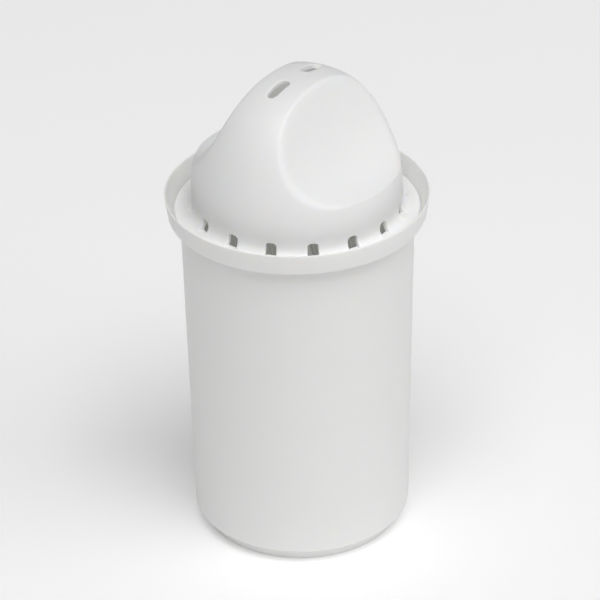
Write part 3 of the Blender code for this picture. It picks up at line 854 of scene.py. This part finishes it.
def woven_threads(node):
    """Parts of a screen's mesh: flat threads both ways, cut off inside the ring.

    The middle line of a thread is a cosine wave. It is at its crest over one crossing and in its trough
    under the next, the threads beside it the other way round, and the threads across it as well.
    """
    low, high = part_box(node)
    reach = high.x - SCREEN_RING_WIDTH / 2
    corners = np.array([(-1, -1), (1, -1), (1, 1), (-1, 1)]) * THREAD_HALF_SECTION
    parts = []
    for number in range(-int(reach / THREAD_PITCH), int(reach / THREAD_PITCH) + 1):
        beside = number * THREAD_PITCH
        chord = math.sqrt(reach**2 - beside**2)
        steps = int(2 * chord / THREAD_PITCH)
        along = np.concatenate([[-chord], THREAD_PITCH / 2 * np.arange(-steps, steps + 1), [chord]])
        wave = THREAD_WAVE * np.cos(math.pi * (along / THREAD_PITCH + number))
        ring = 4 * np.arange(len(along) - 1)[:, None]
        here, there = ring + np.arange(4), ring + (np.arange(4) + 1) % 4
        sides = np.stack([here, there, there + 4, here + 4], axis=-1).reshape(-1, 4)
        last = 4 * (len(along) - 1)
        faces = np.concatenate([sides, [[3, 2, 1, 0], [last, last + 1, last + 2, last + 3]]])
        for way in (1, -1):
            x = along[:, None] + 0.0 * corners[:, 0]
            y = beside + corners[:, 0] + 0.0 * x
            z = low.z + MESH_MIDDLE + way * wave[:, None] + corners[:, 1]
            turned = (x, y, z) if way == 1 else (-y, x, z)
            parts.append((np.stack(turned, axis=-1).reshape(-1, 3), faces))
    return parts


def thread_finish(start, shader):
    """Drawn white thread, a touch greyer where the weave varies."""
    place = start.node("TexCoord", output="Object")
    patch = start.node("TexNoise", Vector=place, Scale=900.0, Detail=2.0)
    join(patch.blend((0.80, 0.81, 0.79), (0.74, 0.75, 0.73)), shader["Base Color"])
    join(0.45 + 0.15 * patch, shader["Roughness"])


frame_plastic = shaded("screen_frame_plastic", white_plastic(
    FRAME_WHITE, FRAME_CLOUDED, FRAME_ROUGHNESS, FRAME_GRAIN, FRAME_LIGHT_DEPTH
))
thread_plastic = shaded("screen_thread", thread_finish)
for node in ("upper_screen", "lower_screen"):
    piece_from(node + "_frame", screen_frame(node), frame_plastic, [node])
    piece_from(node + "_weave", woven_threads(node), thread_plastic, [node])


# Granules. The bed fills the cup between the screens: crushed activated carbon mixed with round resin
# beads, heaped up a little in the middle. Loose grains lie half sunk in its top and in its underside.
BED_LOW, BED_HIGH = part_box("filter_media")
BED_CROWN = 1.5 * MM
BED_SHOULDER = BED_HIGH.z - BED_CROWN
BED_FOOT_RADIUS = body_radius(BED_LOW.z) - BODY_WALL - FIT_CLEARANCE
BED_CROWN_ROWS = 23
BED_WALL_ROWS = 8
BED_COLUMNS = 128
GRAIN_SIZE = 0.6 * MM
GRAIN_UNEVENNESS = 0.3
BEAD_SIZE = 0.45 * MM
BEAD_UNEVENNESS = 0.03
BED_MARGIN = 0.7 * MM
GRAIN_COUNT = 1700
GRAIN_STRAY = 0.3
BEAD_SHARE = 0.4
GRAIN_LIFT = 0.15 * MM
GRAIN_SINK = 0.4 * MM
GRAIN_REACH = 0.25 * MM
PIT_RELIEF = 0.08 * MM
GOLDEN_TURN = math.pi * (3 - math.sqrt(5))

chance = np.random.default_rng(7)


def strewn(radius):
    """Places spread evenly over a disc: a sunflower spiral, each place moved a little by chance."""
    number = np.arange(GRAIN_COUNT) + 0.5
    spacing = radius / math.sqrt(GRAIN_COUNT)
    r = radius * np.sqrt(number / GRAIN_COUNT)
    x = r * np.cos(GOLDEN_TURN * number) + chance.uniform(-GRAIN_STRAY, GRAIN_STRAY, GRAIN_COUNT) * spacing
    y = r * np.sin(GOLDEN_TURN * number) + chance.uniform(-GRAIN_STRAY, GRAIN_STRAY, GRAIN_COUNT) * spacing
    return x, y


def loose_grains(fineness, size, unevenness, places):
    """Points and faces of a small ball at each place, turned, stretched and dented by chance."""
    ball = bmesh.new()
    bmesh.ops.create_icosphere(ball, subdivisions=fineness, radius=size)
    points = np.array([vert.co for vert in ball.verts])
    faces = np.array([[vert.index for vert in face.verts] for face in ball.faces])
    ball.free()
    quaternions = chance.normal(size=(len(places), 4))
    turns = np.array([Quaternion(turn).normalized().to_matrix() for turn in quaternions])
    stretch = 1 + unevenness * chance.uniform(-1, 1, (len(places), 1, 3))
    dents = 1 + unevenness / 2 * chance.uniform(-1, 1, (len(places), len(points), 1))
    made = np.einsum("nij,nkj->nki", turns, points * stretch * dents) + places[:, None]
    made[..., 2] = np.maximum(made[..., 2], BED_LOW.z - GRAIN_REACH)
    numbers = faces + len(points) * np.arange(len(places))[:, None, None]
    return made.reshape(-1, 3), numbers.reshape(-1, 3)


def carbon_finish(start, shader):
    """Charcoal: near black, dull, pitted."""
    place = start.node("TexCoord", output="Object")
    patch = start.node("TexNoise", Vector=place, Scale=1400.0, Detail=4.0)
    join(patch.blend((0.012, 0.012, 0.013), (0.05, 0.048, 0.045)), shader["Base Color"])
    join(0.6 + 0.3 * patch, shader["Roughness"])
    pits = start.node("TexVoronoi", Vector=place, Scale=2600.0)
    join(start.node("Bump", Height=pits, Strength=0.5, Distance=PIT_RELIEF), shader["Normal"])


def resin_finish(start, shader):
    """Ion exchange resin: cream to straw-coloured beads with a wet gloss."""
    place = start.node("TexCoord", output="Object")
    bead = start.node("TexVoronoi", Vector=place, Scale=900.0, output=1)
    tone = start.node("SeparateColor", Color=bead)
    join(tone.blend((0.62, 0.50, 0.31), (0.78, 0.70, 0.52)), shader["Base Color"])
    join(0.22 + 0.15 * tone, shader["Roughness"])


crown_turn = np.linspace(0.0, math.pi / 2, BED_CROWN_ROWS + 1)
bed_section = np.concatenate([
    np.stack([BED_HIGH.x * np.sin(crown_turn), BED_SHOULDER + BED_CROWN * np.cos(crown_turn)], axis=1),
    np.linspace((BED_HIGH.x, BED_SHOULDER), (BED_FOOT_RADIUS, BED_LOW.z), BED_WALL_ROWS + 1)[1:],
    [(BED_FOOT_RADIUS / 2, BED_LOW.z), (0.0, BED_LOW.z)],
])
carbon = shaded("activated_carbon", carbon_finish)
resin = shaded("resin_beads", resin_finish)
bed_azimuths = np.linspace(0.0, 2 * math.pi, BED_COLUMNS + 1)
bed_skin = skin(carried_round(*bed_section.T, bed_azimuths))
piece_from("granule_bed", [bed_skin], carbon, ["filter_media"])
top_x, top_y = strewn(BED_HIGH.x - BED_MARGIN)
top_z = BED_SHOULDER + BED_CROWN * np.sqrt(1 - (top_x**2 + top_y**2) / BED_HIGH.x**2) - GRAIN_LIFT
low_x, low_y = strewn(BED_FOOT_RADIUS - BED_MARGIN)
places = np.concatenate([
    np.stack([top_x, top_y, top_z], axis=1),
    np.stack([low_x, low_y, np.full(GRAIN_COUNT, BED_LOW.z + GRAIN_SINK)], axis=1),
])
is_bead = chance.uniform(size=len(places)) < BEAD_SHARE
carbon_grains = loose_grains(1, GRAIN_SIZE, GRAIN_UNEVENNESS, places[~is_bead])
resin_beads = loose_grains(2, BEAD_SIZE, BEAD_UNEVENNESS, places[is_bead])
piece_from("carbon_grains", [carbon_grains], carbon, ["filter_media"])
piece_from("resin_beads", [resin_beads], resin, ["filter_media"])
